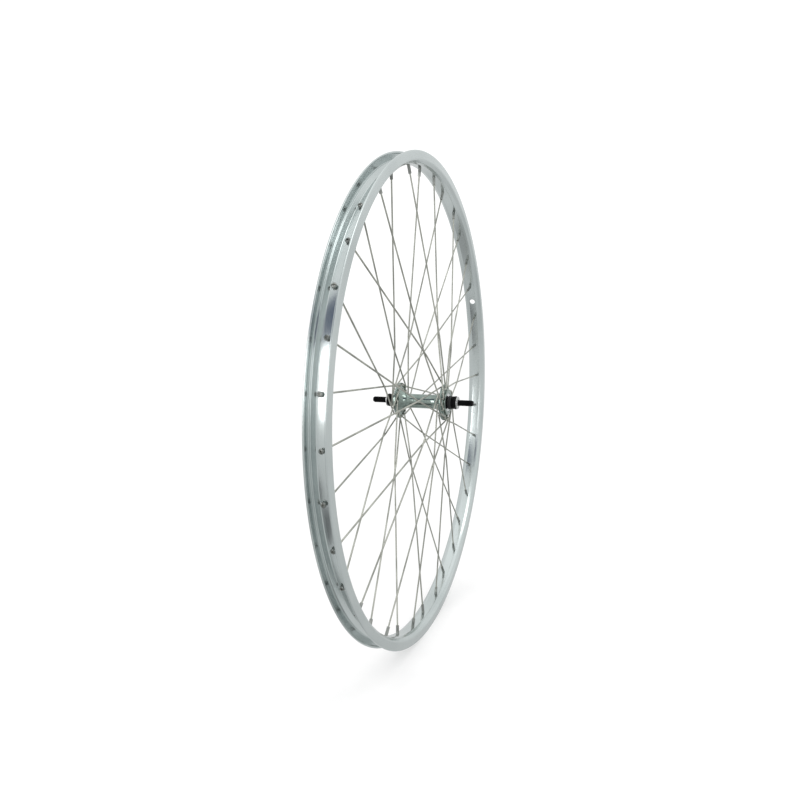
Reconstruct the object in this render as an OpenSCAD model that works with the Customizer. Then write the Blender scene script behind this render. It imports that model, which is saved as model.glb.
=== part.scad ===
// Laced bicycle front wheel: hooked single-wall alloy rim, 36 crossed spokes, cup-and-cone hub, nutted axle.
// Origin at the wheel's centre. The axle runs along Y, left is +Y, and +Z is up.

/* [Rim] */
// Outside diameter over the rim's hooks
rim_od = 634; // [560:1:640]
// Outside width across the hooks
rim_width = 25.4; // [24:0.2:30]
// Depth from the hooks to the spoke bed's inner face
rim_depth = 16; // [15:0.5:18]
// Thickness of the rim's walls and bed
rim_wall = 1.6; // [1.4:0.1:1.8]
// Angle of the valve hole above +X, in degrees
valve_angle = 26.3; // [0:0.1:359]
// Diameter of the valve hole
valve_d = 8.5; // [6.5:0.1:8.7]

/* [Spokes] */
// Number of spokes
spoke_count = 36; // [36]
// Crosses that each spoke makes with the others on its flange
crosses = 4; // [3:1:4]
// Diameter of the spoke wire
spoke_d = 2.0; // [1.8:0.1:2.0]
// Distance of each nipple from the rim's middle plane
nipple_stagger = 1.0; // [0:0.1:1.5]
// Length of a nipple below its head
nipple_len = 11; // [10:0.5:14]

/* [Hub] */
// Distance between the middles of the two spoke flanges
flange_spacing = 62; // [60:0.5:64]
// Outside diameter of a spoke flange
flange_d = 48; // [48:0.5:56]
// Thickness of a spoke flange
flange_t = 3.0; // [2.8:0.1:3.2]
// Circle that the spoke holes lie on
hole_pcd = 42.4; // [42:0.1:43]
// Diameter of the barrel's waist
waist_d = 18.8; // [17:0.2:22]
// Diameter of the boss outboard of each flange
boss_d = 33; // [31:0.5:34]

/* [Axle and bearings] */
// Distance over the end washers, which is the fork's opening
over_washers = 100; // [98:0.5:104]
// Length of the axle
axle_len = 140; // [134:1:150]
// Diameter of the axle over its thread
axle_d = 7.94; // [7.9:0.01:7.96]
// Number of balls in each retainer
ball_count = 9; // [9]

/* [Hidden] */
$fn = 96;
eps = 0.01;
left = 1;
right = -1;

rim_r = rim_od / 2;
bed_in_r = rim_r - rim_depth;
bed_r = bed_in_r + rim_wall;
shelf_r = rim_r - 10;
hook_half = rim_width / 2;
shoulder_half = hook_half + 0.6;
well_half = 5;
shelf_half = hook_half - rim_wall;
pitch = 360 / spoke_count;
hub_turn = crosses * 2 * pitch;

flange_y = flange_spacing / 2;
flange_out = flange_y + flange_t / 2;
flange_in = flange_y - flange_t / 2;
flange_r = flange_d / 2;
hole_r = hole_pcd / 2;
hole_clear = 0.22;
boss_end = flange_out + 3.9;
waist_r = waist_d / 2;
waist_half = 12;
flare_r = 15.2;
barrel_bore_r = 6.2;

ball_r = 2.381;
race_r = ball_r + 0.039;
race_pitch_r = 8.4;
race_y = flange_y + 1;
cup_r = 12.2;
cup_in = race_y - 3.8;
cup_out = race_y + 2.4;
cap_out = boss_end - 0.2;
cap_t = 0.7;
cap_bore_r = 7.6;

axle_r = axle_d / 2;
shank_r = axle_r - 0.03;
nut_bore_r = shank_r + 0.02;
washer_bore_r = axle_r + 0.18;
// Undercut of the thread, hidden under each end washer
groove_r = axle_r - 0.55;
groove_w = 1.3;
tip_chamfer = 0.6;
cone_body_r = 7.1;
cone_lip = race_y + 3.0;
seal_in = boss_end + 0.4;
seal_out = seal_in + 4.4;
seal_r = 9.0;
wrench_r = 8.3;
wrench_flats = 13;
washer_out = over_washers / 2;
washer_t = 1.8;
washer_r = 8.25;
nut_t = 3.6;
nut_flats = 15;
nut_out = washer_out - washer_t;
nut_in = nut_out - nut_t;

spoke_r = spoke_d / 2;
shank_wire_r = spoke_r - 0.02;
collar_r = spoke_r + 0.05;
collar_half = 0.6;
outer_start = flange_out + 3.2;
inner_start = flange_in - 2.0;
head_r = 1.9;
head_h = 0.9;
cross_gap = spoke_r + 0.1;
cross_r = polar_line(bed_r, hole_r, hub_turn, pitch);

nipple_r = 1.98;
nipple_hole_r = 2.2;
nipple_head_r = 3.0;
seat_r = bed_r + 2.3;
nipple_top = 1.0;
nipple_flats = 3.3;

// Radius, at an angle at, of the straight line from radius r1 at angle 0 to radius r2 at angle span
function polar_line(r1, r2, span, at) = sin(span) / (sin(span - at) / r1 + sin(at) / r2);

// Point at radius r and angle a in the wheel's plane, y to the left
function at_angle(r, a, y) = [r * cos(a), y, r * sin(a)];
function unit(v) = v / norm(v);
function arc(c, r, a0, a1, n) = [for (i = [0:n]) let (a = a0 + (a1 - a0) * i / n) c + r * [cos(a), sin(a)]];

// Spokes are counted from the valve hole; pairs of spokes lean forward and back in turn
function rim_angle(j) = valve_angle + (j + 0.5) * pitch;
function lean(j) = j % 4 < 2 ? 1 : -1;

// Lays a shape that was turned about Z on the axle, its +Z outboard on the side s
module outboard(s) rotate([-90 * s, 0, 0]) children();

module bar(a, b, r) {
    v = b - a;
    translate(a) rotate([0, acos(v.z / norm(v)), atan2(v.y, v.x)]) cylinder(r = r, h = norm(v), $fn = 32);
}

// ---- axle assembly ----

module axle() {
    stub_end = axle_len / 2;
    groove_in = washer_out - groove_w;
    color("dimgray") outboard(left) {
        translate([0, 0, -groove_in]) cylinder(r = shank_r, h = 2 * groove_in);
        translate([0, 0, -washer_out]) cylinder(r = groove_r, h = 2 * washer_out);
        for (s = [0, 1]) mirror([0, 0, s]) {
            translate([0, 0, washer_out]) cylinder(r = axle_r, h = stub_end - tip_chamfer - washer_out);
            translate([0, 0, stub_end - tip_chamfer])
                cylinder(r1 = axle_r, r2 = axle_r - tip_chamfer, h = tip_chamfer);
        }
    }
}

module cone(s) {
    race = arc([race_pitch_r, race_y], race_r, 195, 90, 9);
    color("dimgray") outboard(s) difference() {
        union() {
            rotate_extrude() polygon(concat([[nut_bore_r, race_y - 1.8], [race[0].x - 0.7, race_y - 1.8]], race,
                [[race_pitch_r, cone_lip], [cone_body_r, cone_lip], [cone_body_r, seal_out],
                [nut_bore_r, seal_out]]));
            difference() {
                translate([0, 0, seal_out - eps]) cylinder(r = wrench_r, h = nut_in - seal_out + eps);
                for (a = [0, 180]) rotate(a) translate([wrench_flats / 2, -10, seal_out - 1]) cube([5, 20, 9]);
            }
        }
        translate([0, 0, seal_out - 1]) cylinder(r = nut_bore_r, h = 9);
    }
}

// Rubber ring on the cone that keeps water off the dust cap's opening
module cone_seal(s) {
    color("black") outboard(s) rotate_extrude() polygon([[cone_body_r, seal_in], [seal_r - 0.7, seal_in],
        [seal_r, seal_in + 0.7], [seal_r, seal_out - 1.2], [seal_r - 0.8, seal_out], [cone_body_r, seal_out]]);
}

module locknut(s) {
    corner_r = nut_flats / 2 / cos(30);
    face_r = nut_flats / 2;
    color("dimgray") outboard(s) difference() {
        intersection() {
            translate([0, 0, nut_in]) cylinder(r = corner_r, h = nut_t, $fn = 6);
            rotate_extrude() polygon([[0, nut_in], [face_r, nut_in], [corner_r + 0.1, nut_in + 0.7],
                [corner_r + 0.1, nut_out - 0.7], [face_r, nut_out], [0, nut_out]]);
        }
        translate([0, 0, nut_in - 1]) cylinder(r = nut_bore_r, h = nut_t + 2);
    }
}

module end_washer(s) {
    edge = 0.3;
    color("silver") outboard(s) rotate_extrude() polygon([[washer_bore_r, nut_out], [washer_r - edge, nut_out],
        [washer_r, nut_out + edge], [washer_r, washer_out - edge], [washer_r - edge, washer_out],
        [washer_bore_r, washer_out]]);
}

// ---- bearings ----

module each_ball() {
    for (i = [0:ball_count - 1]) rotate(i * 360 / ball_count) translate([race_pitch_r, 0, race_y]) children();
}

module bearing_balls(s) {
    color("white") outboard(s) each_ball() sphere(r = ball_r, $fn = 32);
}

// Pressed ring over the balls, with a finger down between each pair
module ball_retainer(s) {
    ring_in = race_pitch_r + 0.6;
    ring_out = race_pitch_r + 2.0;
    ring_y = race_y + 1.7;
    finger_w = 0.7;
    color("gold") outboard(s) difference() {
        union() {
            translate([0, 0, ring_y]) difference() {
                cylinder(r = ring_out, h = 1.0);
                translate([0, 0, -1]) cylinder(r = ring_in, h = 3);
            }
            for (i = [0:ball_count - 1]) rotate((i + 0.5) * 360 / ball_count)
                translate([race_pitch_r - 0.4, -finger_w / 2, race_y - 0.4])
                    cube([2.0, finger_w, ring_y - race_y + 0.8]);
        }
        each_ball() sphere(r = ball_r + 0.05, $fn = 32);
    }
}

module bearing_cup(s) {
    race = arc([race_pitch_r, race_y], race_r, 0, -112, 9);
    lip = race[9];
    color("silver") outboard(s) rotate_extrude() polygon(concat([[cup_r, cup_in], [cup_r, cup_out],
        [race[0].x, cup_out]], race, [[lip.x - 0.5, lip.y], [lip.x - 0.5, cup_in]]));
}

module dust_cap(s) {
    color("silver") outboard(s) rotate_extrude() polygon([[cup_r, cup_out], [cup_r, cap_out],
        [cap_bore_r, cap_out], [cap_bore_r, cap_out - cap_t], [cup_r - cap_t, cap_out - cap_t],
        [cup_r - cap_t, cup_out]]);
}

// ---- hub ----

// Half of the shell's outline, from the waist out to the end of the boss
function shell_half() = concat([[waist_r, 0]],
    [for (i = [0:8]) let (y = waist_half + (flange_in - 0.5 - waist_half) * i / 8)
        [waist_r + (flare_r - waist_r) * pow((y - waist_half) / (flange_in - 0.5 - waist_half), 3), y]],
    [[flare_r + 0.5, flange_in], [flange_r - 0.5, flange_in], [flange_r, flange_in + 0.5],
    [flange_r, flange_out - 0.5], [flange_r - 0.5, flange_out], [boss_d / 2 + 0.6, flange_out],
    [boss_d / 2, flange_out + 0.6], [boss_d / 2, boss_end - 0.6], [boss_d / 2 - 0.6, boss_end],
    [cup_r, boss_end], [cup_r, cup_in], [barrel_bore_r, cup_in], [barrel_bore_r, 0]]);

module hub_shell() {
    color("lightgray") difference() {
        outboard(left) for (s = [0, 1]) mirror([0, 0, s]) rotate_extrude() polygon(shell_half());
        for (j = [0:spoke_count - 1]) {
            s = j % 2 == 0 ? left : right;
            translate(at_angle(hole_r, rim_angle(j) + lean(j) * hub_turn, s * (flange_in - 1)))
                outboard(s) cylinder(r = spoke_r + hole_clear, h = flange_t + 2, $fn = 24);
        }
    }
}

// ---- spokes and nipples ----

// Places along spoke j: its hub corner, its bend at the outermost cross, and its seat in the rim
function hub_corner(j, s, outer) =
    at_angle(hole_r, rim_angle(j) + lean(j) * hub_turn, s * (outer ? outer_start : inner_start));
function rim_seat(j, s) = at_angle(seat_r, rim_angle(j), s * nipple_stagger);
function cross_point(j, s, outer) =
    let (flat = at_angle(cross_r, rim_angle(j) + lean(j) * pitch, 0),
        along = norm(flat - at_angle(hole_r, rim_angle(j) + lean(j) * hub_turn, 0)),
        whole = norm(at_angle(hole_r, hub_turn, 0) - at_angle(seat_r, 0, 0)),
        middle = (outer_start + inner_start) / 2,
        y = middle + (nipple_stagger - middle) * along / whole)
    flat + [0, s * (y + (outer ? -1 : 1) * cross_gap), 0];

// Rounded head that bears on the flange face at p, with the wire leaving along n
module spoke_head(p, n) {
    ball = (head_r * head_r + head_h * head_h) / (2 * head_h);
    translate(p) rotate([n.y > 0 ? -90 : 90, 0, 0]) intersection() {
        translate([0, 0, ball - head_h]) sphere(r = ball, $fn = 32);
        translate([0, 0, -head_h - 1]) cylinder(r = head_r + 1, h = head_h + 1, $fn = 32);
    }
}

module spoke(j, s, outer) {
    corner = hub_corner(j, s, outer);
    bend = cross_point(j, s, outer);
    seat = rim_seat(j, s);
    n = [0, outer ? s : -s, 0];
    face = [corner.x, s * (outer ? flange_in : flange_out), corner.z];
    u = unit(bend - corner);
    w = unit(seat - bend);
    along = unit(u + w) * collar_half;
    spoke_head(face, n);
    bar(face - n * 0.5, corner + n * (spoke_r + 0.1), spoke_r);
    bar(corner, bend - u * 0.2, shank_wire_r);
    bar(bend - along, bend + along, collar_r);
    bar(bend + w * 0.2, seat - w * 0.5, shank_wire_r);
}

// The spokes of one side that leave the flange on its outer or its inner face
module spokes(s, outer) {
    first = s == left ? 0 : 1;
    color(outer ? "slategray" : "darkgray") for (j = [first:2:spoke_count - 1])
        if (lean(j) == (outer ? 1 : -1)) spoke(j, s, outer);
}

module nipple(j, s, outer) {
    seat = rim_seat(j, s);
    v = cross_point(j, s, outer) - seat;
    collar = 3.5;
    length = nipple_len + seat_r - bed_in_r;
    square_at = length - 6.5;
    translate(seat) rotate([0, acos(v.z / norm(v)), atan2(v.y, v.x)]) difference() {
        union() {
            intersection() {
                sphere(r = nipple_head_r, $fn = 48);
                translate([0, 0, -nipple_top]) cylinder(r = nipple_head_r + 1, h = nipple_top + 2.6);
            }
            cylinder(r = nipple_r, h = square_at, $fn = 48);
            intersection() {
                translate([0, 0, square_at - eps]) cylinder(r = nipple_r, h = length - square_at, $fn = 48);
                translate([-nipple_flats / 2, -nipple_flats / 2, square_at - 1])
                    cube([nipple_flats, nipple_flats, length]);
            }
        }
        cylinder(r = spoke_r + 0.03, h = length + 5, $fn = 32);
        translate([-4, -0.5, -nipple_top - 1]) cube([8, 1.0, 1.8]);
    }
}

module nipples(s) {
    first = s == left ? 0 : 1;
    color("gainsboro") for (j = [first:2:spoke_count - 1]) nipple(j, s, lean(j) == 1);
}

// ---- rim ----

// Outline of the spoke bed's half, with its well, out to the foot of the side wall
bed_half = [[bed_in_r, 6.5], [bed_in_r + 1.4, 9.5], [bed_in_r + 4.2, shelf_half], [shelf_r, shelf_half],
    [shelf_r, 9], [shelf_r - 0.6, 8.2], [bed_r + 0.6, well_half + 0.4], [bed_r, well_half]];

module rim_bed() {
    color("lightgray") difference() {
        outboard(left) rotate_extrude($fn = 180)
            polygon(concat(bed_half, [for (i = [len(bed_half) - 1:-1:0]) [bed_half[i].x, -bed_half[i].y]]));
        for (j = [0:spoke_count - 1]) {
            s = j % 2 == 0 ? left : right;
            seat = rim_seat(j, s);
            d = unit(cross_point(j, s, lean(j) == 1) - seat);
            bar(seat - d * 3, seat + d * 7, nipple_hole_r);
        }
        rotate([0, -valve_angle, 0]) translate([bed_in_r - 2, 0, 0]) rotate([0, 90, 0])
            cylinder(r = valve_d / 2, h = rim_wall + 4);
    }
}

// Side wall with its rounded hook at the tyre's bead
module rim_side(s) {
    hook_r = 1.15;
    bead = arc([rim_r - hook_r, hook_half - hook_r], hook_r, 90, -70, 8);
    color("silver") outboard(s) rotate_extrude($fn = 180) polygon(concat(
        [[bed_in_r + 4.2, shelf_half], [bed_in_r + 5.2, shoulder_half], [rim_r - hook_r - 1, hook_half + 0.1]],
        bead, [[rim_r - 3.4, shelf_half], [shelf_r, shelf_half]]));
}

axle();
cone(left);  // cone_left
cone(right);  // cone_right
cone_seal(left);  // cone_seal_left
cone_seal(right);  // cone_seal_right
locknut(left);  // locknut_left
locknut(right);  // locknut_right
end_washer(left);  // end_washer_left
end_washer(right);  // end_washer_right
bearing_balls(left);  // bearing_balls_left
bearing_balls(right);  // bearing_balls_right
ball_retainer(left);  // ball_retainer_left
ball_retainer(right);  // ball_retainer_right
bearing_cup(left);  // bearing_cup_left
bearing_cup(right);  // bearing_cup_right
dust_cap(left);  // dust_cap_left
dust_cap(right);  // dust_cap_right
hub_shell();
spokes(left, true);  // spokes_left_outer
spokes(left, false);  // spokes_left_inner
spokes(right, true);  // spokes_right_outer
spokes(right, false);  // spokes_right_inner
nipples(left);  // nipples_left
nipples(right);  // nipples_right
rim_bed();
rim_side(left);  // rim_wall_left
rim_side(right);  // rim_wall_right
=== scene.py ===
import math
import random

import bmesh
import bpy
from mathutils import Matrix, Vector


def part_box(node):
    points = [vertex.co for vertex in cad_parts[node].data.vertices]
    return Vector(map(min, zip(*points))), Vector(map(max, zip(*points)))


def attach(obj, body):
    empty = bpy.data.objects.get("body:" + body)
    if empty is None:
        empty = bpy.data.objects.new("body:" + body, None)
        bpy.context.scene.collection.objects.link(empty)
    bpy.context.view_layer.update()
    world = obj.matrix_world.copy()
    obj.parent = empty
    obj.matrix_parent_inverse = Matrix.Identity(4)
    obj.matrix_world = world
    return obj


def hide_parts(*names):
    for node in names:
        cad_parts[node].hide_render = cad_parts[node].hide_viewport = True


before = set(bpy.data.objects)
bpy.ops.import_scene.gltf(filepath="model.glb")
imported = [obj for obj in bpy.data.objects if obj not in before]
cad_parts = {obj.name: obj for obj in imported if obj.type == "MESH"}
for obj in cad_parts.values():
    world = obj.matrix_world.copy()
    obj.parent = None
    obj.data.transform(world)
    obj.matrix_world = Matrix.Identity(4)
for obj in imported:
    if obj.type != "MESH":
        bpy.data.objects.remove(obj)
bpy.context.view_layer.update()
print("frame loaded:", len(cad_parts), "nodes")

mm = 0.001
mergeDistance = 0.002 * mm
sharpAngle = 32
cornerParts = 4
wireSides = 16
ringSteps = 96
left, right = 1, -1
sideName = {left: "left", right: "right"}
wheelBody = "wheel"
axleBody = "axle_assembly"

# sizes that the frame gives, in millimetres
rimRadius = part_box("rim_wall_left")[1].x / mm
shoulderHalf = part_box("rim_wall_left")[1].y / mm
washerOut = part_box("end_washer_left")[1].y / mm
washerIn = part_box("end_washer_left")[0].y / mm
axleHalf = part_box("axle")[1].y / mm
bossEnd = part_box("hub_shell")[1].y / mm
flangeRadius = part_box("hub_shell")[1].x / mm
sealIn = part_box("cone_seal_left")[0].y / mm
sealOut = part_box("cone_seal_left")[1].y / mm
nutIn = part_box("locknut_left")[0].y / mm

lacing = {  # how the spokes run, as in the CAD
    "spokes": 36,
    "crosses": 4,
    "valveAngle": 26.3,
    "holeRadius": 21.2,
    "bedRadius": 302.6,
    "seatRadius": 304.9,
    "stagger": 1.0,
    "flangeIn": 29.5,
    "flangeOut": 32.5,
    "outerStart": 35.7,
    "innerStart": 27.5,
    "crossGap": 1.1,
}
pitch = 360 / lacing["spokes"]
hubTurn = lacing["crosses"] * 2 * pitch


# helpers

def onWheel(radius, degrees, y=0.0):
    a = math.radians(degrees)
    return Vector((radius * math.cos(a), y, radius * math.sin(a)))


def roundCorner(before, corner, after, radius, parts):  # points of the arc that rounds a corner
    into = (before - corner).normalized()
    out = (after - corner).normalized()
    half = into.angle(out) / 2
    start = corner + into * (radius / math.tan(half))
    end = corner + out * (radius / math.tan(half))
    centre = corner + (into + out).normalized() * (radius / math.sin(half))
    a, b = start - centre, end - centre
    sweep = a.angle(b)
    if sweep < 1e-4:
        return [start]
    arc = []
    for i in range(parts + 1):
        t = i / parts
        arc.append(centre + (a * math.sin(sweep * (1 - t)) + b * math.sin(sweep * t)) / math.sin(sweep))
    return arc


def roundedOutline(corners, closed):  # corners are (radius from axle, y, rounding)
    points = []
    count = len(corners)
    for i, (r, y, rounding) in enumerate(corners):
        here = Vector((r, y, 0))
        ends = not closed and i in (0, count - 1)
        if rounding <= 0 or ends:
            points.append(here)
            continue
        a, b = corners[i - 1], corners[(i + 1) % count]
        points += roundCorner(Vector((a[0], a[1], 0)), here, Vector((b[0], b[1], 0)), rounding, cornerParts)
    return points


def chained(bm, verts, closed=True):  # edges that join the points in their order
    return [bm.edges.new(pair) for pair in zip(verts, verts[1:] + verts[:closed])]


def turned(bm, corners, steps, closed=True):  # an outline spun once round the axle
    verts = [bm.verts.new(p * mm) for p in roundedOutline(corners, closed)]
    edges = chained(bm, verts, closed)
    bmesh.ops.spin(bm, geom=verts + edges, cent=(0, 0, 0), axis=(0, 1, 0), angle=math.tau, steps=steps,
                   use_merge=True)
    bmesh.ops.remove_doubles(bm, verts=bm.verts, dist=mergeDistance)
    bmesh.ops.recalc_face_normals(bm, faces=bm.faces)


def mirrored(half):  # the other half of an outline, in the order that closes the loop
    return half + [(r, -y, rounding) for r, y, rounding in reversed(half)]


def linked(name, bm):  # puts a bmesh in the scene as an object
    mesh = bpy.data.meshes.new(name)
    bm.to_mesh(mesh)
    bm.free()
    thing = bpy.data.objects.new(name, mesh)
    bpy.context.scene.collection.objects.link(thing)
    return thing


def finished(name, bm, material, body, nodes, sharp=sharpAngle):  # a piece that stands for CAD nodes
    piece = linked(name, bm)
    mesh = piece.data
    mesh.polygons.foreach_set("use_smooth", [True] * len(mesh.polygons))
    mesh.set_sharp_from_angle(angle=math.radians(sharp))
    mesh.materials.append(material)
    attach(piece, body)
    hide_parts(*nodes)
    return piece


def cutWith(piece, cutter):  # takes the cutter's solids out of the piece
    cut = piece.modifiers.new("cut", "BOOLEAN")
    cut.operation = "DIFFERENCE"
    cut.solver = "EXACT"
    cut.object = cutter
    bpy.context.view_layer.update()
    shown = piece.evaluated_get(bpy.context.evaluated_depsgraph_get())
    mesh = bpy.data.meshes.new_from_object(shown)
    piece.modifiers.remove(cut)
    old = piece.data
    piece.data = mesh
    mesh.name = old.name
    bpy.data.meshes.remove(old)
    bpy.data.objects.remove(cutter)
    mesh.set_sharp_from_angle(angle=math.radians(sharpAngle))


def rods(name, ends, radius, segments):  # a throwaway object of round rods, for cutting holes
    bm = bmesh.new()
    for a, b in ends:
        along = b - a
        place = Matrix.Translation((a + b) / 2 * mm) @ along.to_track_quat("Z", "Y").to_matrix().to_4x4()
        bmesh.ops.create_cone(bm, cap_ends=True, segments=segments, radius1=radius * mm, radius2=radius * mm,
                              depth=along.length * mm, matrix=place)
    return linked(name, bm)


def block(name, middle, size):  # a throwaway box, for cutting
    bm = bmesh.new()
    stretch = Matrix.Diagonal((size[0] * mm, size[1] * mm, size[2] * mm, 1))
    bmesh.ops.create_cube(bm, size=1, matrix=Matrix.Translation(middle * mm) @ stretch)
    return linked(name, bm)


def drawnWire(bm, path, radii):  # a round wire along the path, its ends closed
    tangents = []
    for i in range(len(path)):
        a, b = path[max(i - 1, 0)], path[min(i + 1, len(path) - 1)]
        tangents.append((b - a).normalized())
    turn = tangents[0].to_track_quat("Z", "Y")
    places = []
    for i, (p, r) in enumerate(zip(path, radii)):
        if i:
            turn = tangents[i - 1].rotation_difference(tangents[i]) @ turn
        places.append(Matrix.Translation(p * mm) @ turn.to_matrix().to_4x4() @ Matrix.Scale(r * mm, 4))
    first = bmesh.ops.create_circle(bm, cap_ends=True, segments=wireSides, radius=1.0, matrix=places[0])
    edges = list({e for v in first["verts"] for e in v.link_edges})
    for before, after in zip(places, places[1:]):
        grown = bmesh.ops.extrude_edge_only(bm, edges=edges)["geom"]
        verts = [g for g in grown if isinstance(g, bmesh.types.BMVert)]
        kept = set(verts)
        edges = [g for g in grown if isinstance(g, bmesh.types.BMEdge) and set(g.verts) <= kept]
        bmesh.ops.transform(bm, matrix=after @ before.inverted(), verts=verts)
    bmesh.ops.contextual_create(bm, geom=edges)


# lacing

def rimAngle(j):
    return lacing["valveAngle"] + (j + 0.5) * pitch


def lean(j):
    return 1 if j % 4 < 2 else -1


def sideOf(j):
    return left if j % 2 == 0 else right


def hubAngle(j):
    return rimAngle(j) + lean(j) * hubTurn


def hubCorner(j):
    start = lacing["outerStart"] if lean(j) > 0 else lacing["innerStart"]
    return onWheel(lacing["holeRadius"], hubAngle(j), sideOf(j) * start)


def rimSeat(j):
    return onWheel(lacing["seatRadius"], rimAngle(j), sideOf(j) * lacing["stagger"])


def crossPoint(j):  # where the spoke bends round its partner
    span, at = math.radians(hubTurn), math.radians(pitch)
    r = math.sin(span) / (math.sin(span - at) / lacing["bedRadius"] + math.sin(at) / lacing["holeRadius"])
    flat = onWheel(r, rimAngle(j) + lean(j) * pitch)
    hole = onWheel(lacing["holeRadius"], hubAngle(j))
    whole = (hole - onWheel(lacing["seatRadius"], rimAngle(j))).length
    middle = (lacing["outerStart"] + lacing["innerStart"]) / 2
    y = middle + (lacing["stagger"] - middle) * (flat - hole).length / whole
    y -= lean(j) * lacing["crossGap"]
    return flat + Vector((0, sideOf(j) * y, 0))


# materials

lineDepth = 0.05 * mm
speckDepth = 0.1 * mm


def nodesOf(name):
    material = bpy.data.materials.new(name)
    material.use_nodes = True
    tree = material.node_tree
    return material, tree, tree.nodes["Principled BSDF"]


def added(tree, kind, **settings):
    node = tree.nodes.new(kind)
    for key, value in settings.items():
        setattr(node, key, value)
    return node


def mathNode(tree, operation, a, b=None):
    node = added(tree, "ShaderNodeMath", operation=operation)
    for i, value in enumerate((a, b)):
        if value is None:
            continue
        if isinstance(value, (int, float)):
            node.inputs[i].default_value = value
        else:
            tree.links.new(value, node.inputs[i])
    return node.outputs[0]


def ringCoordinates(tree, start, scale):  # (radius, y, angle) scaled, the angle's join at start degrees
    coords = added(tree, "ShaderNodeTexCoord")
    turn = added(tree, "ShaderNodeMapping")
    turn.inputs["Rotation"].default_value = (0, math.radians(start - 180), 0)
    split = added(tree, "ShaderNodeSeparateXYZ")
    tree.links.new(coords.outputs["Object"], turn.inputs["Vector"])
    tree.links.new(turn.outputs[0], split.inputs[0])
    x, y, z = split.outputs
    squares = mathNode(tree, "MULTIPLY", x, x), mathNode(tree, "MULTIPLY", z, z)
    radius = mathNode(tree, "SQRT", mathNode(tree, "ADD", *squares))
    angle = mathNode(tree, "ARCTAN2", z, x)
    join = added(tree, "ShaderNodeCombineXYZ")
    for i, (value, factor) in enumerate(zip((radius, y, angle), scale)):
        tree.links.new(mathNode(tree, "MULTIPLY", value, factor), join.inputs[i])
    return join.outputs[0]


def noise(tree, vector, scale, detail, roughness=0.5):
    node = added(tree, "ShaderNodeTexNoise")
    node.inputs["Scale"].default_value = scale
    node.inputs["Detail"].default_value = detail
    node.inputs["Roughness"].default_value = roughness
    tree.links.new(vector, node.inputs["Vector"])
    return node.outputs["Fac"]


def ramp(tree, factor, stops):
    node = added(tree, "ShaderNodeValToRGB")
    band = node.color_ramp
    while len(band.elements) < len(stops):
        band.elements.new(0.5)
    for element, (place, colour) in zip(band.elements, stops):
        element.position = place
        element.color = (*colour, 1)
    tree.links.new(factor, node.inputs["Fac"])
    return node.outputs["Color"]


def ranged(tree, factor, low, high):
    node = added(tree, "ShaderNodeMapRange")
    node.inputs["To Min"].default_value = low
    node.inputs["To Max"].default_value = high
    tree.links.new(factor, node.inputs["Value"])
    return node.outputs["Result"]


def bumped(tree, shader, height, strength, distance):
    node = added(tree, "ShaderNodeBump")
    node.inputs["Strength"].default_value = strength
    node.inputs["Distance"].default_value = distance
    tree.links.new(height, node.inputs["Height"])
    tree.links.new(node.outputs[0], shader.inputs["Normal"])


def objectCoordinates(tree):
    return added(tree, "ShaderNodeTexCoord").outputs["Object"]


def spunMetal(name, look):  # metal with fine lines round the axle, from an extrusion die or a lathe
    material, tree, shader = nodesOf(name)
    rings = ringCoordinates(tree, look.get("join", 180), (look["lines"], look["lines"], 1.2))
    lines = noise(tree, rings, 1.0, 3.0)
    clouds = noise(tree, objectCoordinates(tree), look["cloudScale"], 3.0)
    shade = ramp(tree, clouds, [(0.3, look["dark"]), (0.7, look["light"])])
    tree.links.new(shade, shader.inputs["Base Color"])
    mostly, slightly = mathNode(tree, "MULTIPLY", lines, 0.7), mathNode(tree, "MULTIPLY", clouds, 0.3)
    mixed = mathNode(tree, "ADD", mostly, slightly)
    tree.links.new(ranged(tree, mixed, look["smooth"], look["rough"]), shader.inputs["Roughness"])
    shader.inputs["Metallic"].default_value = 1.0
    bumped(tree, shader, lines, look["bump"], lineDepth)
    return material


def plainMetal(name, look):  # metal with a speckled, cloudy finish and no direction
    material, tree, shader = nodesOf(name)
    where = objectCoordinates(tree)
    speck = noise(tree, where, look["speckScale"], 4.0, 0.6)
    clouds = noise(tree, where, look["cloudScale"], 2.0)
    shade = ramp(tree, clouds, [(0.35, look["dark"]), (0.65, look["light"])])
    tree.links.new(shade, shader.inputs["Base Color"])
    tree.links.new(ranged(tree, speck, look["smooth"], look["rough"]), shader.inputs["Roughness"])
    shader.inputs["Metallic"].default_value = look.get("metallic", 1.0)
    shader.inputs["Specular IOR Level"].default_value = look.get("specular", 0.5)
    bumped(tree, shader, speck, look["bump"], speckDepth)
    return material


def sealRubber():
    material, tree, shader = nodesOf("sealRubber")
    where = objectCoordinates(tree)
    grain = noise(tree, where, 900, 4.0, 0.6)
    dust = noise(tree, where, 60, 3.0)
    shade = ramp(tree, dust, [(0.3, (0.006, 0.006, 0.007)), (0.8, (0.02, 0.02, 0.02))])
    tree.links.new(shade, shader.inputs["Base Color"])
    tree.links.new(ranged(tree, grain, 0.45, 0.75), shader.inputs["Roughness"])
    bumped(tree, shader, grain, 0.25, speckDepth)
    return material


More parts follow.
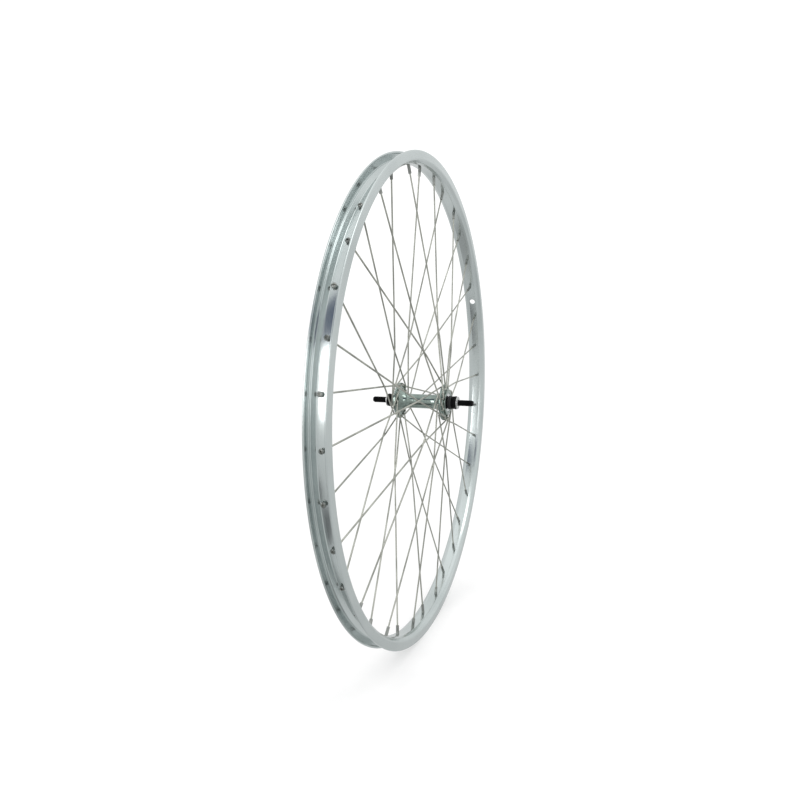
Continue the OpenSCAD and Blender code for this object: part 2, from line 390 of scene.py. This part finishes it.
rimAlloy = spunMetal("rimAlloy", {
    "lines": 2600, "cloudScale": 9, "join": 206.3,
    "dark": (0.55, 0.595, 0.592), "light": (0.67, 0.715, 0.71), "smooth": 0.12, "rough": 0.27, "bump": 0.14,
})
hubAlloy = spunMetal("hubAlloy", {
    "lines": 1800, "cloudScale": 60,
    "dark": (0.21, 0.255, 0.235), "light": (0.35, 0.42, 0.385), "smooth": 0.04, "rough": 0.14, "bump": 0.12,
})
spokeWire = plainMetal("spokeWire", {
    "speckScale": 700, "cloudScale": 40, "dark": (0.34, 0.345, 0.31), "light": (0.55, 0.555, 0.5),
    "smooth": 0.32, "rough": 0.55, "bump": 0.12,
})
nippleNickel = plainMetal("nippleNickel", {
    "speckScale": 500, "cloudScale": 80, "dark": (0.2, 0.21, 0.2), "light": (0.38, 0.39, 0.37),
    "smooth": 0.2, "rough": 0.42, "bump": 0.08,
})
blackSteel = plainMetal("blackSteel", {
    "speckScale": 1200, "cloudScale": 120, "dark": (0.001, 0.001, 0.0012), "light": (0.004, 0.004, 0.0045),
    "smooth": 0.4, "rough": 0.65, "bump": 0.1, "metallic": 0.0, "specular": 0.09,
})
washerZinc = spunMetal("washerZinc", {
    "lines": 5200, "cloudScale": 150,
    "dark": (0.5, 0.5, 0.5), "light": (0.7, 0.7, 0.69), "smooth": 0.2, "rough": 0.45, "bump": 0.2,
})
capChrome = spunMetal("capChrome", {
    "lines": 3000, "cloudScale": 90,
    "dark": (0.6, 0.62, 0.62), "light": (0.74, 0.75, 0.75), "smooth": 0.08, "rough": 0.22, "bump": 0.06,
})
groundSteel = spunMetal("groundSteel", {
    "lines": 7000, "cloudScale": 150,
    "dark": (0.42, 0.42, 0.42), "light": (0.58, 0.58, 0.57), "smooth": 0.18, "rough": 0.35, "bump": 0.12,
})
retainerSteel = plainMetal("retainerSteel", {
    "speckScale": 900, "cloudScale": 150, "dark": (0.36, 0.32, 0.22), "light": (0.52, 0.47, 0.34),
    "smooth": 0.25, "rough": 0.5, "bump": 0.1,
})
ballSteel = plainMetal("ballSteel", {
    "speckScale": 400, "cloudScale": 100, "dark": (0.66, 0.66, 0.67), "light": (0.72, 0.72, 0.73),
    "smooth": 0.04, "rough": 0.1, "bump": 0.01,
})
rubber = sealRubber()
print("materials made")


# rim

rimShape = {  # halves are measured across the rim from its middle, rises outward from the bed
    "bedIn": 301.0,
    "bedHalf": 5.6,
    "flankRise": 1.5,
    "flankHalf": 9.4,
    "shoulderRise": 4.4,
    "shoulderSlope": 0.5,
    "wallRise": 5.8,
    "outside": 12.7,
    "lipDepth": 2.6,
    "lipSwell": 0.06,
    "lipDraft": 0.1,
    "hookTip": 10.35,
    "hookDepth": 2.1,
    "hookFoot": 3.4,
    "wallInside": 11.1,
    "shelf": 307.0,
    "shelfHalf": 8.9,
    "bedTop": 302.6,
    "wellRise": 3.5,
    "wellTopHalf": 8.2,
    "wellHalf": 5.2,
    "steps": 360,
    "nippleHole": 2.2,
    "nippleCut": (-1.5, 8.0),
    "nippleSides": 24,
    "valveHole": 4.25,
    "valveCut": (294.0, 305.0),
    "valveSides": 48,
}


def makeRim(spec):
    half = [  # from the middle of the bed's inner face, round the side wall, to the well
        (spec["bedIn"], spec["bedHalf"], 3.0),
        (spec["bedIn"] + spec["flankRise"], spec["flankHalf"], 2.0),
        (spec["bedIn"] + spec["shoulderRise"], shoulderHalf - spec["shoulderSlope"], 1.2),
        (spec["bedIn"] + spec["wallRise"], shoulderHalf, 0.5),
        (rimRadius - spec["lipDepth"], spec["outside"] + spec["lipSwell"], 1.0),
        (rimRadius, spec["outside"] - spec["lipDraft"], 1.05),
        (rimRadius, spec["hookTip"], 0.95),
        (rimRadius - spec["hookDepth"], spec["hookTip"], 0.7),
        (rimRadius - spec["hookFoot"], spec["wallInside"], 0.8),
        (spec["shelf"], spec["wallInside"], 0.7),
        (spec["shelf"], spec["shelfHalf"], 0.6),
        (spec["bedTop"] + spec["wellRise"], spec["wellTopHalf"], 0.5),
        (spec["bedTop"], spec["wellHalf"], 1.2),
    ]
    bm = bmesh.new()
    turned(bm, mirrored(half), spec["steps"])
    nodes = ("rim_bed", "rim_wall_left", "rim_wall_right")
    rim = finished("rim", bm, rimAlloy, wheelBody, nodes)
    holes = []
    for j in range(lacing["spokes"]):
        seat = rimSeat(j)
        along = (crossPoint(j) - seat).normalized()
        holes.append([seat + along * step for step in spec["nippleCut"]])
    cutWith(rim, rods("nippleHoles", holes, spec["nippleHole"], spec["nippleSides"]))
    valve = [onWheel(radius, lacing["valveAngle"]) for radius in spec["valveCut"]]
    cutWith(rim, rods("valveCutter", [valve], spec["valveHole"], spec["valveSides"]))


makeRim(rimShape)
print("rim made")


# spokes

spokeShape = {
    "wire": 1.0,
    "elbow": 1.9,
    "elbowParts": 8,
    "crossBend": 40.0,
    "crossParts": 6,
    "neckStart": 0.4,
    "endGap": 0.6,
    "sharp": 50,
    "head": [  # distance outward from the flange's face, radius
        (-0.9, 0.55), (-0.86, 1.0), (-0.66, 1.45), (-0.36, 1.74), (-0.08, 1.9), (0.0, 1.9), (0.0, 1.02),
    ],
}


def spokePath(j, spec):
    side, out = sideOf(j), lean(j) > 0
    corner, bend, seat = hubCorner(j), crossPoint(j), rimSeat(j)
    through = Vector((0, side if out else -side, 0))
    face = Vector((corner.x, side * (lacing["flangeIn"] if out else lacing["flangeOut"]), corner.z))
    path = [face + through * step for step, r in spec["head"]]
    radii = [r for step, r in spec["head"]]
    elbow = roundCorner(face, corner, bend, spec["elbow"], spec["elbowParts"])
    soft = roundCorner(corner, bend, seat, spec["crossBend"], spec["crossParts"])
    end = seat - (seat - bend).normalized() * spec["endGap"]
    rest = [face + through * spec["neckStart"]] + elbow + [elbow[-1].lerp(soft[0], 0.5)] + soft + [end]
    return path + rest, radii + [spec["wire"]] * len(rest)


def makeSpokes(side, out, spec):
    bm = bmesh.new()
    for j in range(lacing["spokes"]):
        if sideOf(j) == side and (lean(j) > 0) == out:
            path, radii = spokePath(j, spec)
            drawnWire(bm, path, radii)
    bmesh.ops.recalc_face_normals(bm, faces=bm.faces)
    hand, where = sideName[side], "outer" if out else "inner"
    name = "spokes" + hand.title() + where.title()
    finished(name, bm, spokeWire, wheelBody, ("spokes_" + hand + "_" + where,), spec["sharp"])


for side in (left, right):
    for out in (True, False):
        makeSpokes(side, out, spokeShape)
print("spokes laced")


# nipples

nippleShape = {
    "bore": 1.05,
    "boreTop": -0.95,
    "headTop": -1.05,
    "head": [  # radius, place along the nipple
        (1.5, -1.05), (2.3, -0.93), (2.72, -0.6), (2.94, -0.1), (2.86, 0.75), (2.6, 1.4), (2.2, 1.95),
    ],
    "neck": 1.97,
    "neckStart": 2.4,
    "collarEnd": 8.4,
    "collarChamfer": (0.25, 0.3),
    "shankStart": 7.8,
    "end": 14.8,
    "flats": 1.62,
    "sides": 24,
    "slotLength": 8.0,
    "slotWidth": 0.9,
    "slotDepth": 0.75,
    "sharp": 35,
}


def nippleMesh(spec):  # one nipple along +Z, its head's centre at the origin and its shank towards the hub
    inward, back = spec["collarChamfer"]
    outline = [(spec["bore"], spec["boreTop"])] + spec["head"] + [
        (spec["neck"], spec["neckStart"]), (spec["neck"], spec["collarEnd"] - back),
        (spec["neck"] - inward, spec["collarEnd"]), (spec["bore"], spec["collarEnd"]),
    ]
    bm = bmesh.new()
    verts = [bm.verts.new((r * mm, 0, z * mm)) for r, z in outline]
    bmesh.ops.spin(bm, geom=verts + chained(bm, verts), cent=(0, 0, 0), axis=(0, 0, 1), angle=math.tau,
                   steps=spec["sides"], use_merge=True)
    bmesh.ops.recalc_face_normals(bm, faces=bm.faces)
    slotted = linked("nippleShape", bm)
    size = spec["slotLength"], spec["slotWidth"], spec["slotDepth"] * 2
    cutWith(slotted, block("slot", Vector((0, 0, spec["headTop"])), size))
    mesh = slotted.data
    bpy.data.objects.remove(slotted)
    addShank(mesh, spec)
    return mesh


def addShank(mesh, spec):  # the square end, added after the slot so that the cut meets one shell only
    bm = bmesh.new()
    neck, long = spec["neck"] * mm, (spec["end"] - spec["shankStart"]) * mm
    middle = Matrix.Translation((0, 0, (spec["shankStart"] + spec["end"]) / 2 * mm))
    bmesh.ops.create_cone(bm, cap_ends=True, segments=spec["sides"], radius1=neck, radius2=neck, depth=long,
                          matrix=middle)
    for normal in (Vector((1, 0, 0)), Vector((-1, 0, 0)), Vector((0, 1, 0)), Vector((0, -1, 0))):
        cut = bmesh.ops.bisect_plane(bm, geom=bm.verts[:] + bm.edges[:] + bm.faces[:], plane_no=normal,
                                     plane_co=normal * spec["flats"] * mm, clear_outer=True, dist=1e-7)
        flat = [g for g in cut["geom_cut"] if isinstance(g, bmesh.types.BMEdge)]
        bmesh.ops.contextual_create(bm, geom=flat)
    bmesh.ops.recalc_face_normals(bm, faces=bm.faces)
    bm.from_mesh(mesh)
    bm.to_mesh(mesh)
    bm.free()


def makeNipples(side, pattern, chance, spec):
    bm = bmesh.new()
    for j in range(lacing["spokes"]):
        if sideOf(j) != side:
            continue
        seat = rimSeat(j)
        towards = (crossPoint(j) - seat).to_track_quat("Z", "Y").to_matrix().to_4x4()
        spin = Matrix.Rotation(chance.uniform(0, math.tau), 4, "Z")
        before = set(bm.verts)
        bm.from_mesh(pattern)
        new = [v for v in bm.verts if v not in before]
        bmesh.ops.transform(bm, matrix=Matrix.Translation(seat * mm) @ towards @ spin, verts=new)
    name, node = "nipples" + sideName[side].title(), "nipples_" + sideName[side]
    finished(name, bm, nippleNickel, wheelBody, (node,), spec["sharp"])


pattern = nippleMesh(nippleShape)
chance = random.Random(36)
for side in (left, right):
    makeNipples(side, pattern, chance, nippleShape)
print("nipples seated")


# hub

hubShape = {
    "waist": 9.4,
    "middleHalf": 4.0,
    "waistHalf": 12.0,
    "flare": 15.2,
    "flareEnd": 29.0,
    "flareSteps": 12,
    "flangeFoot": 16.3,
    "flangeEdge": 0.9,
    "boss": 16.5,
    "cup": 12.2,
    "cupIn": 28.2,
    "bore": 6.2,
    "steps": 144,
    "spokeHole": 1.22,
    "holePast": 1.0,
    "holeSides": 20,
}


def makeHub(spec):
    half = [(spec["waist"], spec["middleHalf"], 0)]
    for i in range(spec["flareSteps"] + 1):
        t = i / spec["flareSteps"]
        y = spec["waistHalf"] + (spec["flareEnd"] - spec["waistHalf"]) * t
        half.append((spec["waist"] + (spec["flare"] - spec["waist"]) * t ** 3, y, 0))
    half += [
        (spec["flangeFoot"], lacing["flangeIn"], 0.5),
        (flangeRadius, lacing["flangeIn"], spec["flangeEdge"]),
        (flangeRadius, lacing["flangeOut"], spec["flangeEdge"]),
        (spec["boss"], lacing["flangeOut"], 1.0),
        (spec["boss"], bossEnd, 0.7),
        (spec["cup"], bossEnd, 0.25),
        (spec["cup"], spec["cupIn"], 0),
        (spec["bore"], spec["cupIn"], 0),
    ]
    bm = bmesh.new()
    turned(bm, mirrored(half), spec["steps"])
    hub = finished("hubShell", bm, hubAlloy, wheelBody, ("hub_shell",))
    holes = []
    for j in range(lacing["spokes"]):
        ends = lacing["flangeIn"] - spec["holePast"], lacing["flangeOut"] + spec["holePast"]
        holes.append([onWheel(lacing["holeRadius"], hubAngle(j), sideOf(j) * y) for y in ends])
    cutWith(hub, rods("spokeHoles", holes, spec["spokeHole"], spec["holeSides"]))


makeHub(hubShape)


def outboardRing(name, node, side, corners, material, body):  # a turned piece at one end of the hub
    bm = bmesh.new()
    turned(bm, [(r, side * y, rounding) for r, y, rounding in corners], ringSteps)
    hand = sideName[side]
    return finished(name + hand.title(), bm, material, body, (node + "_" + hand,))


dustCapShape = {
    "outer": 12.15,
    "lip": 11.2,
    "dish": 10.7,
    "dishIn": 8.3,
    "bore": 7.65,
    "skirt": 11.4,
    "sunk": 0.2,
    "depth": 2.0,
    "dishDepth": 0.35,
    "boreDepth": 0.7,
    "plate": 1.1,
}


def makeDustCap(side, spec):
    out, back = bossEnd - spec["sunk"], bossEnd - spec["depth"]
    dish = out - spec["dishDepth"]
    outboardRing("dustCap", "dust_cap", side, [
        (spec["outer"], back, 0.1), (spec["outer"], out, 0.55), (spec["lip"], out, 0.2),
        (spec["dish"], dish, 0.2), (spec["dishIn"], dish, 0.2), (spec["bore"], out, 0.2),
        (spec["bore"], out - spec["boreDepth"], 0.2), (spec["skirt"], out - spec["plate"], 0.4),
        (spec["skirt"], back, 0.1),
    ], capChrome, wheelBody)


for side in (left, right):
    makeDustCap(side, dustCapShape)
print("hub made")


# axle

threadShape = {
    "crest": 3.95,
    "crestHalf": 0.09,
    "foot": 3.4,
    "footHalf": 0.46,
    "core": 3.52,
    "coreSteps": 48,
    "pitch": 25.4 / 26,
    "segments": 28,
    "from": 45.0,
    "tip": 3.0,
    "tipTaper": 0.9,
    "tipBare": 0.7,
    "sharp": 25,
}


def makeAxle(spec):
    bm = bmesh.new()
    core = [(0, axleHalf, 0), (spec["tip"], axleHalf, 0), (spec["core"], axleHalf - spec["tipTaper"], 0)]
    turned(bm, mirrored(core), spec["coreSteps"], closed=False)
    turns = int((axleHalf - spec["tipBare"] - spec["from"]) / spec["pitch"])
    steps = turns * spec["segments"]
    ridge = [
        (spec["foot"], -spec["footHalf"]), (spec["crest"], -spec["crestHalf"]),
        (spec["crest"], spec["crestHalf"]), (spec["foot"], spec["footHalf"]),
    ]
    for side in (left, right):
        verts = [bm.verts.new((r * mm, (side * spec["from"] + y) * mm, 0)) for r, y in ridge]
        climb = (0, side * turns * spec["pitch"] / steps * mm, 0)
        end = bmesh.ops.spin(bm, geom=verts + chained(bm, verts), cent=(0, 0, 0), axis=(0, 1, 0),
                             angle=math.tau * turns, steps=steps, dvec=climb)["geom_last"]
        bm.faces.new(verts)
        bmesh.ops.contextual_create(bm, geom=[g for g in end if isinstance(g, bmesh.types.BMVert)])
    bmesh.ops.recalc_face_normals(bm, faces=bm.faces)
    finished("threadedAxle", bm, blackSteel, axleBody, ("axle",), spec["sharp"])


coneShape = {
    "bore": 3.96,
    "nose": 5.3,
    "noseY": 30.2,
    "race": 8.4,
    "raceY": 32.0,
    "groove": 2.42,
    "grooveStart": 195,
    "grooveSweep": 105,
    "grooveSteps": 8,
    "shoulderY": 35.0,
    "neck": 7.1,
    "neckPast": 0.2,
    "outer": 8.3,
    "nutGap": 0.02,
    "flatHalf": 6.5,
    "flatCut": (8.0, 20.0),
    "flatPast": 0.2,
}


def makeCone(side, spec):  # the shaped nut that holds the balls in, with two spanner flats
    groove = []
    for i in range(spec["grooveSteps"] + 1):
        a = math.radians(spec["grooveStart"] - spec["grooveSweep"] * i / spec["grooveSteps"])
        r, y = spec["race"] + spec["groove"] * math.cos(a), spec["raceY"] + spec["groove"] * math.sin(a)
        groove.append((r, y, 0))
    end = nutIn - spec["nutGap"]
    corners = [(spec["bore"], spec["noseY"], 0), (spec["nose"], spec["noseY"], 0.2)] + groove + [
        (spec["race"], spec["shoulderY"], 0.2), (spec["neck"], spec["shoulderY"], 0.2),
        (spec["neck"], sealOut - spec["neckPast"], 0), (spec["outer"], sealOut, 0.3),
        (spec["outer"], end, 0.3), (spec["bore"], end, 0),
    ]
    cone = outboardRing("cone", "cone", side, corners, blackSteel, axleBody)
    deep, long = spec["flatCut"]
    size = deep, nutIn - sealOut + 2 * spec["flatPast"], long
    for direction in (1, -1):
        middle = Vector((direction * (spec["flatHalf"] + deep / 2), side * (sealOut + nutIn) / 2, 0))
        cutWith(cone, block("flat", middle, size))


sealShape = {
    "bore": 7.1,
    "face": 8.4,
    "bulge": 9.0,
    "bulgeY": (0.7, 1.2),
    "waist": 8.85,
    "waistY": 2.0,
    "outerFace": 8.2,
}


def makeSeal(side, spec):
    first, last = spec["bulgeY"]
    outboardRing("coneSeal", "cone_seal", side, [
        (spec["bore"], sealIn, 0.1), (spec["face"], sealIn, 0.25), (spec["bulge"], sealIn + first, 0.35),
        (spec["waist"], sealIn + spec["waistY"], 0.3), (spec["bulge"], sealOut - last, 0.4),
        (spec["outerFace"], sealOut, 0.4), (spec["bore"], sealOut, 0.1),
    ], rubber, axleBody)


locknutShape = {
    "bore": 3.96,
    "boreSides": 48,
    "flatHalf": 7.5,
    "face": 6.1,
    "chamfer": 0.55,
    "chamferSteps": 64,
    "cutPast": 1.0,
    "cutRadius": 20.0,
}


def makeLocknut(side, spec):
    name = sideName[side]
    corner = spec["flatHalf"] / math.cos(math.radians(30))
    middle = Matrix.Translation((0, side * (nutIn + washerIn) / 2 * mm, 0))
    along = Matrix.Rotation(math.radians(90), 4, "X")
    bm = bmesh.new()
    bmesh.ops.create_cone(bm, cap_ends=True, segments=6, radius1=corner * mm, radius2=corner * mm,
                          depth=(washerIn - nutIn) * mm, matrix=middle @ along)
    nut = finished("locknut" + name.title(), bm, blackSteel, axleBody, ("locknut_" + name,))
    low, high = side * (nutIn - spec["cutPast"]), side * (washerIn + spec["cutPast"])
    bm = bmesh.new()
    turned(bm, [
        (spec["cutRadius"], low, 0), (spec["cutRadius"], high, 0), (spec["face"], high, 0),
        (corner, side * (washerIn - spec["chamfer"]), 0), (corner, side * (nutIn + spec["chamfer"]), 0),
        (spec["face"], low, 0),
    ], spec["chamferSteps"])
    cutWith(nut, linked("chamfer", bm))
    bore = Vector((0, low, 0)), Vector((0, high, 0))
    cutWith(nut, rods("nutBore", [bore], spec["bore"], spec["boreSides"]))


washerShape = {
    "bore": 3.97,
    "edge": 8.25,
    "toothedOut": 7.6,
    "toothedIn": 4.9,
    "lip": 4.7,
    "nutGap": 0.01,
    "outGap": 0.02,
    "toothedGap": 0.28,
    "teeth": 40,
    "toothPlace": (6.35, 0.3),
    "toothFoot": 0.36,
    "toothCrest": 0.04,
    "toothHeight": 0.55,
    "toothLength": 4.0,
}


def makeEndWasher(side, spec):
    low, high, flat = washerIn + spec["nutGap"], washerOut - spec["outGap"], washerOut - spec["toothedGap"]
    washer = outboardRing("endWasher", "end_washer", side, [
        (spec["bore"], low, 0.15), (spec["edge"], low, 0.35), (spec["edge"], flat, 0.3),
        (spec["toothedOut"], flat, 0), (spec["toothedIn"], flat, 0), (spec["lip"], high, 0.1),
        (spec["bore"], high, 0.15),
    ], washerZinc, axleBody)
    radius, back = spec["toothPlace"]
    stretch = Matrix.Diagonal((spec["toothLength"], 1, 1, 1))
    outward = Matrix.Rotation(math.radians(-90 * side), 4, "X")
    shape = stretch @ outward @ Matrix.Rotation(math.radians(45), 4, "Z")
    bm = bmesh.new()
    for i in range(spec["teeth"]):
        a = i * 360 / spec["teeth"]
        place = Matrix.Translation(onWheel(radius, a, side * (washerOut - back)) * mm)
        bmesh.ops.create_cone(bm, cap_ends=True, segments=4, radius1=spec["toothFoot"] * mm,
                              radius2=spec["toothCrest"] * mm, depth=spec["toothHeight"] * mm,
                              matrix=place @ Matrix.Rotation(-math.radians(a), 4, "Y") @ shape)
    bm.from_mesh(washer.data)
    bm.to_mesh(washer.data)
    bm.free()


makeAxle(threadShape)
for side in (left, right):
    makeCone(side, coneShape)
    makeSeal(side, sealShape)
    makeLocknut(side, locknutShape)
    makeEndWasher(side, washerShape)
print("axle assembled")


# bearings: these pieces keep their CAD shape

innerMetals = {"bearing_balls_": ballSteel, "ball_retainer_": retainerSteel, "bearing_cup_": groundSteel}
for side in (left, right):
    for node, material in innerMetals.items():
        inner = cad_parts[node + sideName[side]]
        inner.data.materials.clear()
        inner.data.materials.append(material)
print("bearings coloured")


# floor, light and camera

studio = {
    "floor": -0.3172,
    "floorRadius": 60,
    "floorGlow": 0.52,
    "azimuth": -71.9,
    "elevation": 7.888,
    "distance": 0.9274,
    "focal": 31.133,
    "shift": (-0.028, 0.0016),
    "white": 1.12,
    "tint": 1.02,
    "room": [  # height from straight down to straight up, grey
        (0.0, 0.38), (0.025, 0.42), (0.05, 0.68), (0.12, 0.71), (0.2, 0.6), (0.3, 0.66),
        (0.45, 0.74), (0.56, 0.76), (0.68, 0.92), (0.82, 0.86), (1.0, 1.1),
    ],
}


def makeFloor(spec):
    bm = bmesh.new()
    bmesh.ops.create_circle(bm, cap_ends=True, segments=96, radius=spec["floorRadius"],
                            matrix=Matrix.Translation((0, 0, spec["floor"])))
    floor = linked("floor", bm)
    material, tree, shader = nodesOf("paleFloor")
    grain = noise(tree, objectCoordinates(tree), 30, 3.0)
    shade = ramp(tree, grain, [(0.3, (0.44, 0.44, 0.44)), (0.7, (0.46, 0.46, 0.46))])
    tree.links.new(shade, shader.inputs["Base Color"])
    shader.inputs["Emission Color"].default_value = (1, 1, 1, 1)
    shader.inputs["Emission Strength"].default_value = spec["floorGlow"]
    shader.inputs["Roughness"].default_value = 0.9
    shader.inputs["Specular IOR Level"].default_value = 0.1
    floor.data.materials.append(material)
    floor.visible_glossy = False


def softLight(name, spec):
    light = bpy.data.lights.new(name, "AREA")
    light.shape = "RECTANGLE"
    light.size, light.size_y = spec["size"]
    light.energy = spec["power"]
    lamp = bpy.data.objects.new(name, light)
    lamp.location = spec["place"]
    lamp.rotation_euler = (Vector(spec["target"]) - Vector(spec["place"])).to_track_quat("-Z", "Y").to_euler()
    bpy.context.scene.collection.objects.link(lamp)


def makeSky(spec):  # even white light for matt things, a graded grey room for polished ones to mirror
    world = bpy.data.worlds.new("studio")
    bpy.context.scene.world = world
    world.use_nodes = True
    tree = world.node_tree
    shade = tree.nodes["Background"]
    split = added(tree, "ShaderNodeSeparateXYZ")
    tree.links.new(added(tree, "ShaderNodeTexCoord").outputs["Generated"], split.inputs[0])
    height = mathNode(tree, "ADD", mathNode(tree, "MULTIPLY", split.outputs[2], 0.5), 0.5)
    tint, white = spec["tint"], spec["white"]
    graded = ramp(tree, height, [(place, (grey, grey * tint, grey * tint)) for place, grey in spec["room"]])
    pick = added(tree, "ShaderNodeMix", data_type="RGBA")  # a colour mix has its two colours at 6 and 7
    tree.links.new(added(tree, "ShaderNodeLightPath").outputs["Is Glossy Ray"], pick.inputs[0])
    pick.inputs[6].default_value = (white, white, white, 1)
    tree.links.new(graded, pick.inputs[7])
    tree.links.new(pick.outputs[2], shade.inputs["Color"])


def card(name, spec):  # a coloured board that only shows in reflections
    facing = (Vector(spec["target"]) - Vector(spec["place"])).to_track_quat("Z", "Y").to_matrix().to_4x4()
    stretch = Matrix.Diagonal((*spec["size"], 1, 1))
    bm = bmesh.new()
    bmesh.ops.create_grid(bm, x_segments=1, y_segments=1, size=0.5,
                          matrix=Matrix.Translation(spec["place"]) @ facing @ stretch)
    board = linked(name, bm)
    board.visible_camera = board.visible_diffuse = board.visible_shadow = False
    material, tree, shader = nodesOf(name)
    shader.inputs["Base Color"].default_value = (0, 0, 0, 1)
    shader.inputs["Emission Color"].default_value = (*spec["colour"], 1)
    shader.inputs["Emission Strength"].default_value = 1.0
    board.data.materials.append(material)


def makeCamera(spec):
    a, e = math.radians(spec["azimuth"]), math.radians(spec["elevation"])
    back = Vector((math.sin(a) * math.cos(e), -math.cos(a) * math.cos(e), math.sin(e)))
    data = bpy.data.cameras.new("camera")
    data.sensor_width = 36
    data.lens = spec["focal"]
    data.shift_x, data.shift_y = spec["shift"]
    data.clip_start, data.clip_end = 0.01, 200
    camera = bpy.data.objects.new("camera", data)
    camera.location = back * spec["distance"]
    camera.rotation_mode = "QUATERNION"
    camera.rotation_quaternion = (-back).to_track_quat("-Z", "Y")
    bpy.context.scene.collection.objects.link(camera)
    bpy.context.scene.camera = camera


lamps = {
    "window": {"place": (-2.4, 1.34, 0.62), "target": (-0.3, 0, 0.06), "size": (0.8, 1.25), "power": 12},
    "key": {"place": (-2.05, -0.95, 0.55), "target": (-0.2, 0, 0), "size": (0.4, 0.9), "power": 2.4},
    "top": {"place": (-0.6, -0.8, 2.4), "target": (0, 0, 0), "size": (1.4, 1.0), "power": 6.5},
}
boards = {
    "darkBoard": {
        "place": (-1.8, 1.2, 1.6), "target": (-0.3, 0, 0.1), "size": (1.1, 0.85),
        "colour": (0.05, 0.075, 0.14),
    },
    "cornerBoard": {
        "place": (-1.6, -0.6, 1.15), "target": (-0.3, 0, 0.1), "size": (1.2, 0.5),
        "colour": (0.015, 0.03, 0.09),
    },
    "lowBoard": {
        "place": (-1.8, 1.02, -1.94), "target": (-0.3, 0, -0.08), "size": (0.6, 0.8),
        "colour": (0.12, 0.125, 0.13),
    },
    "hubBoard": {
        "place": (-2.4, 0.92, -1.5), "target": (0, 0, 0), "size": (0.26, 0.6),
        "colour": (0.03, 0.035, 0.035),
    },
}
makeFloor(studio)
makeSky(studio)
makeCamera(studio)
for name, spec in lamps.items():
    softLight(name, spec)
for name, spec in boards.items():
    card(name, spec)
bpy.context.scene.view_settings.view_transform = "Standard"
print("studio set")
